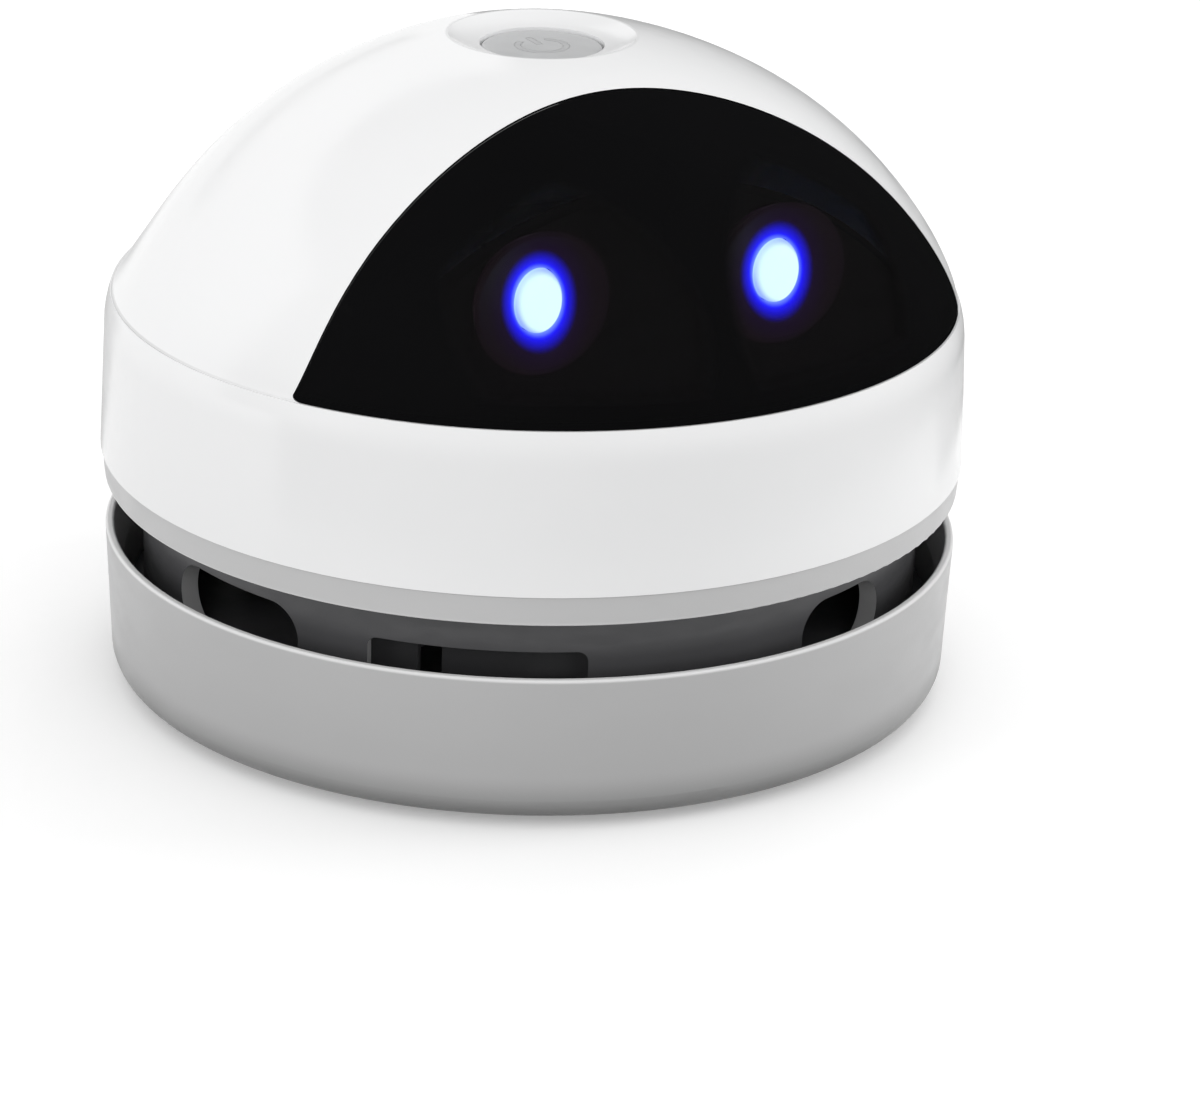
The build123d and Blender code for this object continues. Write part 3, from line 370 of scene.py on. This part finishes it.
def smoky_housing():
    """Smoked plastic, with a painted highlight on the cut edges round the windows, painted light
    on the inside faces and painted shade in the grooves.
    """
    finish = Finish("smoky_housing", (0.05, 0.05, 0.053), 0.38)
    cloud = finish.noise(0.012, detail=4)
    finish.paint(finish.mix(cloud, (0.06, 0.06, 0.063), (0.082, 0.082, 0.086)))
    out = finish.out_from_axis()
    reach = finish.length(out)
    # How far a face looks outwards: 1 is straight out, -1 straight in and 0 sideways.
    outward = finish.number("DOT_PRODUCT", finish.vector("NORMALIZE", out), finish.facing)
    outer_face = (0.5, 0.8)
    inner_face = (-0.7, -0.4)
    groove_floor = (groove_reach - 0.0002, groove_reach + 0.0002)
    band_wall = (band_reach - 0.0003, band_reach)
    # painted light: the inside faces are paler
    finish.paint_over(finish.fall(outward, *inner_face), (0.15, 0.15, 0.155))
    # painted shade on the floors of the grooves
    groove_shade = finish.math("MULTIPLY", finish.ramp(outward, *outer_face),
                       finish.fall(reach, *groove_floor))
    finish.paint_over(groove_shade, (0.035, 0.035, 0.037))
    # painted highlight on the cut edges round the windows
    cut_edge_highlight = finish.math("MULTIPLY", finish.fall(finish.math("ABSOLUTE", outward), *outer_face),
                      finish.ramp(reach, *band_wall))
    finish.paint_over(cut_edge_highlight, (0.5, 0.5, 0.505))
    finish.polish(finish.noise(0.004, detail=5, stretch=(1, 1, 4)), 0.33, 0.45)
    finish.relief(finish.noise(0.0009), 0.000006)
    finish.put_on("fan_housing")


def oval_reach(finish):
    """1 on the edge of the lit oval of either eye, less inside it and more outside."""
    x, z = finish.axes()[0], finish.axes()[2]
    from_left = finish.math("SUBTRACT", x, left_eye.x)
    from_right = finish.math("SUBTRACT", x, right_eye.x)
    by_right = finish.math("GREATER_THAN", x, 0.0)
    across = finish.node("ShaderNodeMix", {0: by_right, 2: from_left, 3: from_right}).outputs[0]
    above = finish.math("SUBTRACT", z, right_eye.z)
    place = finish.node("ShaderNodeCombineXYZ", {0: across, 2: above}).outputs[0]
    upright = finish.node("ShaderNodeVectorRotate", {"Vector": place, "Axis": (0, 1, 0),
                                                     "Angle": math.radians(eye_tilt)}).outputs[0]
    to_unit = (1 / eye_half_width, 0, 1 / eye_half_height)
    return finish.length(finish.vector("MULTIPLY", upright, to_unit))


def eye_light():
    """Lit oval lenses, the dishes behind them with the lamps' blue light painted on as glow, and
    the lamps.
    """
    lens = Finish("lit_lens", (0.7, 0.95, 0.95), 0.2)
    core, rim = (0.72, 1.0, 0.98), (0.10, 0.16, 1.0)
    rim_fade = (0.80, 1.14)      # as oval_reach counts, as are the fades of the dish
    lens.give(Emission_Color=lens.mix(lens.ramp(oval_reach(lens), *rim_fade), core, rim),
              Emission_Strength=3.3)
    lens.put_on("eye_lens_left", "eye_lens_right")
    # the dish is no lamp: the blue light that the lamps throw on it is painted on as glow
    dish = Finish("dish_painted_glow", (0.01, 0.008, 0.02), 0.5, Specular_IOR_Level=0.2)
    away = oval_reach(dish)
    fringe, fringe_fade = (0.16, 0.26, 0.95), (0.95, 1.22)
    halo, halo_fade = (0.010, 0.008, 1.0), (1.0, 1.7)
    dusk, dusk_fade = (0.005, 0.0012, 0.011), (1.5, 2.4)
    dark = (0.003, 0.0013, 0.002)
    glow = dish.mix(dish.fall(away, *halo_fade), dusk, halo)
    glow = dish.mix(dish.fall(away, *fringe_fade), glow, fringe)
    glow = dish.mix(dish.fall(away, *dusk_fade), dark, glow)
    dish.give(Emission_Color=glow, Emission_Strength=4.0)
    dish.put_on("eye_cup_left", "eye_cup_right")
    resin = Finish("lamp_resin", (0.5, 0.7, 0.9), 0.15, Emission_Color=(0.2, 0.5, 1.0),
                   Emission_Strength=1.0)
    resin.put_on("eye_lamp_left", "eye_lamp_right")


# ---------------------------------------------------------------- finishes of the inside
def plain_plastics():
    """Plastics and rubbers with no marks of their own, and the dull mask round the eyes."""
    for name, colour, roughness, blotch, mottle, grain, depth, pieces in (
            ("fan_plastic", (0.22, 0.22, 0.23), 0.3, 0.01, 0.06, 0.0003, 0.000006, ["impeller"]),
            ("black_plastic", (0.035, 0.036, 0.04), 0.35, 0.01, 0.06, 0.0003, 0.000006,
             ["filter_frame", "brush_bar_front", "brush_bar_rear"]),
            ("soft_foot", (0.10, 0.10, 0.105), 0.75, 0.003, 0.08, 0.0002, 0.00001,
             ["foot_front_right", "foot_rear_right", "foot_rear_left", "foot_front_left"]),
            ("seal_rubber", (0.02, 0.02, 0.021), 0.7, 0.004, 0.1, 0.0002, 0.00001,
             ["filter_seal"]),
            ("bracket_plastic", (0.72, 0.72, 0.70), 0.45, 0.01, 0.03, 0.0004, 0.00001,
             ["switch_bracket", "motor_clamp", "switch_plunger", "motor_cap"]),
            ("cell_sleeve", (0.03, 0.12, 0.40), 0.25, 0.01, 0.05, 0.0004, 0.00001,
             ["battery_cell"])):
        moulded(name, colour, roughness, blotch, mottle, grain, depth).put_on(*pieces)
    mask = moulded("mask_plastic", (0.006, 0.006, 0.006), 0.8, blotch=0.01, mottle=0.1,
                   grain=0.0003, depth=0.000006)
    mask.give(Specular_IOR_Level=0.1)
    mask.put_on("eye_mask", "push_switch")


def circuit_green():
    """Solder mask with copper tracks showing under it."""
    finish = Finish("circuit_green", (0.02, 0.14, 0.06), 0.35)
    cells_per_metre = 700.0
    cells = finish.node("ShaderNodeTexVoronoi", {"Vector": finish.place, "Scale": cells_per_metre},
                        distance="MANHATTAN", feature="DISTANCE_TO_EDGE")
    track = finish.fall(cells.outputs["Distance"], 0.04, 0.07)
    finish.paint(finish.mix(track, (0.015, 0.11, 0.045), (0.03, 0.20, 0.08)))
    finish.relief(track, 0.00003)
    finish.put_on("led_board", "switch_board", "control_board")


def metals():
    """Bright screws and springs, the satin can and socket, and the bronze bushes."""
    for name, colour, roughness, brushed, pieces in (
            ("screw_steel", (0.55, 0.55, 0.56), 0.28, None,
             ["switch_screws", "motor_clamp_screws", "control_board_screws", "eye_mask_screws",
              "shell_screws", "fan_housing_screws"]),
            ("spring_steel", (0.60, 0.60, 0.62), 0.2, (1, 1, 6),
             ["button_spring", "button_coil", "motor_shaft"]),
            ("steel_can", (0.62, 0.62, 0.61), 0.3, (1, 1, 12), ["motor_can", "usb_socket"]),
            ("sintered_bronze", (0.45, 0.29, 0.14), 0.45, None,
             ["motor_bush_lower", "motor_bush_upper"])):
        finish = Finish(name, colour, roughness, Metallic=1.0)
        streak = finish.noise(0.0006, detail=4, stretch=brushed)
        finish.paint(finish.mix(streak, shade(colour, 0.85), shade(colour, 1.1)))
        finish.polish(streak, roughness * 0.8, roughness * 1.3)
        finish.relief(streak, 0.000006)
        finish.put_on(*pieces)


def filter_cloth():
    """Fine woven mesh: threads both ways, over and under."""
    finish = Finish("filter_cloth", (0.5, 0.5, 0.48), 0.8)
    thread_pitch = 0.0007
    wave_scale = math.pi / (10 * thread_pitch)   # at a scale of 1, waves are pi / 10 apart
    threads = []
    for direction in ("X", "Y"):
        wave = finish.node("ShaderNodeTexWave", {"Vector": finish.place, "Scale": wave_scale,
                                                 "Distortion": 0.3, "Detail": 1.0},
                           bands_direction=direction, wave_type="BANDS")
        threads.append(wave.outputs["Fac"])
    weave = finish.math("MAXIMUM", *threads)
    finish.paint(finish.mix(weave, (0.10, 0.10, 0.095), (0.52, 0.52, 0.50)))
    finish.polish(finish.noise(0.008, detail=5), 0.7, 0.9)
    finish.relief(weave, 0.0001)
    finish.put_on("filter_mesh")


def dress_nodes():
    """Every CAD node gets its finish."""
    white_shell()
    dark_visor()
    grey_tray()
    grey_cup()
    marked_button()
    smoky_housing()
    plain_plastics()
    circuit_green()
    metals()
    filter_cloth()
    eye_light()


# ---------------------------------------------------------------- pieces
def add_object(name, work):
    """Object of a finished bmesh."""
    mesh = bpy.data.meshes.new(name)
    work.to_mesh(mesh)
    work.free()
    made = bpy.data.objects.new(name, mesh)
    scene.collection.objects.link(made)
    return made


def add_piece(name, work):
    """Smooth piece of the cleaner, still without a body."""
    piece = add_object(name, work)
    for face in piece.data.polygons:
        face.use_smooth = True
    return piece


def sort_faces(work):
    """Faces in the order of their corners, because spin stores them in another order each run."""
    work.verts.index_update()
    count = len(work.verts)

    def rank(face):
        corners = [vert.index for vert in face.verts]
        return min(corners) * count + max(corners)

    work.faces.sort(key=rank)


def button_coil():
    """Coil of round wire that takes the plain button spring's place."""
    low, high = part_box("button_spring")
    wire_radius = 0.00025
    coil_radius = high.x - wire_radius
    turns, steps_in_turn, wire_sides = 3, 48, 12
    steps = turns * steps_in_turn
    rise = (high.z - low.z - 2 * wire_radius) / steps
    work = bmesh.new()
    start = (Matrix.Translation((coil_radius, 0, low.z + wire_radius))
             @ Matrix.Rotation(math.pi / 2, 4, "X"))
    ring = bmesh.ops.create_circle(work, cap_ends=False, segments=wire_sides, radius=wire_radius,
                                   matrix=start)
    bmesh.ops.spin(work, geom=ring["verts"] + list(work.edges), cent=(0, 0, 0), axis=(0, 0, 1),
                   dvec=(0, 0, rise), angle=turns * math.tau, steps=steps, use_merge=False)
    bmesh.ops.holes_fill(work, edges=[edge for edge in work.edges if edge.is_boundary])
    bmesh.ops.recalc_face_normals(work, faces=work.faces)
    sort_faces(work)
    piece = add_piece("button_coil", work)
    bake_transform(piece)
    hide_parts("button_spring")


def bristle_rows():
    """Nylon tufts in place of each plain row: each tuft is a splayed bunch of thin bristles."""
    nylon = Finish("nylon_bristle", (0.05, 0.05, 0.055), 0.45)
    nylon.paint(nylon.mix(nylon.noise(0.0008), (0.03, 0.03, 0.033), (0.085, 0.085, 0.09)))
    order = random.Random(7)
    tuft_pitch = 0.0016
    bristles_in_tuft = 22
    root_along, root_across = 0.00035, 0.35      # a distance, and a share of half the row's width
    tip_along, tip_across = 0.0005, 0.85
    tip_unevenness = 0.0003
    for row in ("front", "rear"):
        low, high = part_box("bristles_" + row)
        middle = (low.y + high.y) / 2
        half_width = (high.y - low.y) / 2
        tufts = int((high.x - low.x) / tuft_pitch)
        work = bmesh.new()
        for tuft in range(tufts):
            centre = low.x + (high.x - low.x) * (tuft + 0.5) / tufts
            for _ in range(bristles_in_tuft):
                root = Vector((centre + order.uniform(-root_along, root_along),
                               middle + order.uniform(-root_across, root_across) * half_width,
                               high.z))
                tip = Vector((root.x + order.uniform(-tip_along, tip_along),
                              middle + order.uniform(-tip_across, tip_across) * half_width,
                              low.z + order.uniform(0, tip_unevenness)))
                add_bristle(work, root, tip)
        piece = add_piece("tufts_" + row, work)
        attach(piece, "cup")
        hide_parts("bristles_" + row)
        nylon.put_on(piece.name)


def add_bristle(work, root, tip):
    """One thin three-sided bristle that narrows from root to tip."""
    root_radius, tip_radius = 0.00006, 0.000042
    axis = tip - root
    turn = axis.to_track_quat("Z", "Y").to_matrix().to_4x4()
    bmesh.ops.create_cone(work, cap_ends=True, segments=3, radius1=root_radius,
                          radius2=tip_radius, depth=axis.length,
                          matrix=Matrix.Translation((root + tip) / 2) @ turn)


# ---------------------------------------------------------------- floor and room
room_light = 0.93            # even light from all round
floor_white = 0.8            # the floor's colour where it is seen
floor_glow = 0.25            # lifts it to white there
floor_bounce = 0.5           # how pale it is for the light that it throws back
shaded_under_bounce = 0.1           # and the same right under the body, darker as painted shade for the cup's foot


def seen_directly(tree):
    """1 for a camera ray and for what a gloss or a clear piece shows, 0 for light on a surface."""
    paths = tree.nodes.new("ShaderNodeLightPath")
    seen = paths.outputs["Is Camera Ray"]
    for kind in ("Is Glossy Ray", "Is Transmission Ray"):
        either = tree.nodes.new("ShaderNodeMath")
        either.operation = "MAXIMUM"
        tree.links.new(seen, either.inputs[0])
        tree.links.new(paths.outputs[kind], either.inputs[1])
        seen = either.outputs[0]
    return seen


def make_floor():
    """Pale floor that keeps the shadow and runs into a white background."""
    work = bmesh.new()
    bmesh.ops.create_grid(work, x_segments=1, y_segments=1, size=6.0)
    floor = add_object("floor", work)
    paper = Finish("pale_floor", (floor_white,) * 3, 0.9, Specular_IOR_Level=0.0)
    seen = seen_directly(paper.tree)
    glow = paper.math("MULTIPLY", seen, floor_glow)
    paper.give(Emission_Color=(1, 1, 1), Emission_Strength=glow)
    # painted shade: right under the body the floor throws back less light onto the cup's foot
    out_from_under = paper.ramp(paper.length(paper.place), 0.045, 0.10)
    bounce = paper.mix(out_from_under, (shaded_under_bounce,) * 3, (floor_bounce,) * 3)
    paper.paint(paper.mix(seen, bounce, (floor_white,) * 3))
    floor.data.materials.append(paper.material)


def make_world():
    """White room: full white where it is seen, a little less as light."""
    world = bpy.data.worlds.new("white_room")
    world.use_nodes = True
    tree = world.node_tree
    level = tree.nodes.new("ShaderNodeMapRange")
    level.inputs["To Min"].default_value = room_light
    level.inputs["To Max"].default_value = 1.0
    tree.links.new(seen_directly(tree), level.inputs["Value"])
    background = tree.nodes["Background"]
    background.inputs["Color"].default_value = (1, 1, 1, 1)
    tree.links.new(level.outputs[0], background.inputs["Strength"])
    scene.world = world


# ---------------------------------------------------------------- lamps and dark screens
def add_softbox(name, place, aim, size, power):
    """Wide soft lamp that lights surfaces and doesn't show in a gloss."""
    light = bpy.data.lights.new(name, "AREA")
    light.shape = "RECTANGLE"
    light.size, light.size_y = size
    light.energy = power
    box = bpy.data.objects.new(name, light)
    box.location = place
    box.rotation_mode = "QUATERNION"
    box.rotation_quaternion = (Vector(aim) - Vector(place)).to_track_quat("-Z", "Y")
    box.visible_glossy = False
    scene.collection.objects.link(box)


def add_dark_screen(name, profile, start, sweep, glow):
    """Dark cloth that only a gloss picks up: a profile of reaches and levels, swept round the
    body from a bearing in degrees. The face is at bearing 0."""
    work = bmesh.new()
    turn = Matrix.Rotation(math.radians(start), 3, "Z")
    line = [work.verts.new(turn @ Vector((0, -reach, level))) for reach, level in profile]
    edges = [work.edges.new(pair) for pair in zip(line, line[1:])]
    bmesh.ops.spin(work, geom=line + edges, cent=(0, 0, 0), axis=(0, 0, 1),
                   angle=math.radians(sweep), steps=48, use_merge=False)
    screen = add_object(name, work)
    screen.visible_camera = screen.visible_diffuse = screen.visible_shadow = False
    screen.visible_transmission = screen.visible_volume_scatter = False
    cloth = Finish(name, (0.01, 0.01, 0.01), 1.0, Specular_IOR_Level=0.0,
                   Emission_Color=(1, 1, 1), Emission_Strength=glow)
    screen.data.materials.append(cloth.material)


def dome_arc(low, high, step):
    """Profile of a round screen between two heights over the table, in degrees."""
    radius = 1.2
    heights = [math.radians(degrees) for degrees in range(low, high + 1, step)]
    return [(radius * math.cos(height), radius * math.sin(height)) for height in heights]


def make_lights():
    """Lamps on all sides, and screens that keep the visor black and draw thin grey edges."""
    middle = (0, 0, 0.035)
    for name, place, size, power in (
            ("key", (0.5, 0.4, 0.6), (0.4, 0.4), 0.75),
            ("left_strip", (-0.75, -0.1, 0.2), (0.3, 0.4), 1.3),
            ("right_strip", (0.75, -0.2, 0.24), (0.3, 0.4), 1.5),
            ("front_fill", (0.15, -0.8, 0.2), (0.5, 0.3), 0.8)):
        add_softbox(name, place, middle, size, power)
    mat = 0.0005                 # level of the screens that lie on the table
    wall = 0.10                  # reach of the one that stands close by
    kerb = 0.010                 # level where its lowest, paler part ends
    for name, profile, start, sweep, glow in (
            ("dark_curtain", dome_arc(0, 42, 6), -112, 268, 0.0),
            ("dark_ceiling", dome_arc(42, 90, 6), -180, 360, 0.0),
            ("dark_table_edge", [(wall, kerb), (wall, 0.25)], -80, 240, 0.0),
            ("dark_far_mat", [(0.13, mat), (0.26, mat)], 128, 75, 0.4),
            ("dark_mat", [(0.055, mat), (0.13, mat)], 128, 75, 0.5),
            ("dark_kerb", [(wall, mat), (wall, kerb)], 85, 75, 0.4),
            ("dark_rail", dome_arc(10, 15, 5), 163, 30, 0.45)):
        add_dark_screen(name, profile, start, sweep, glow)


make_camera()
button_coil()
dress_nodes()
bristle_rows()
make_floor()
make_world()
make_lights()
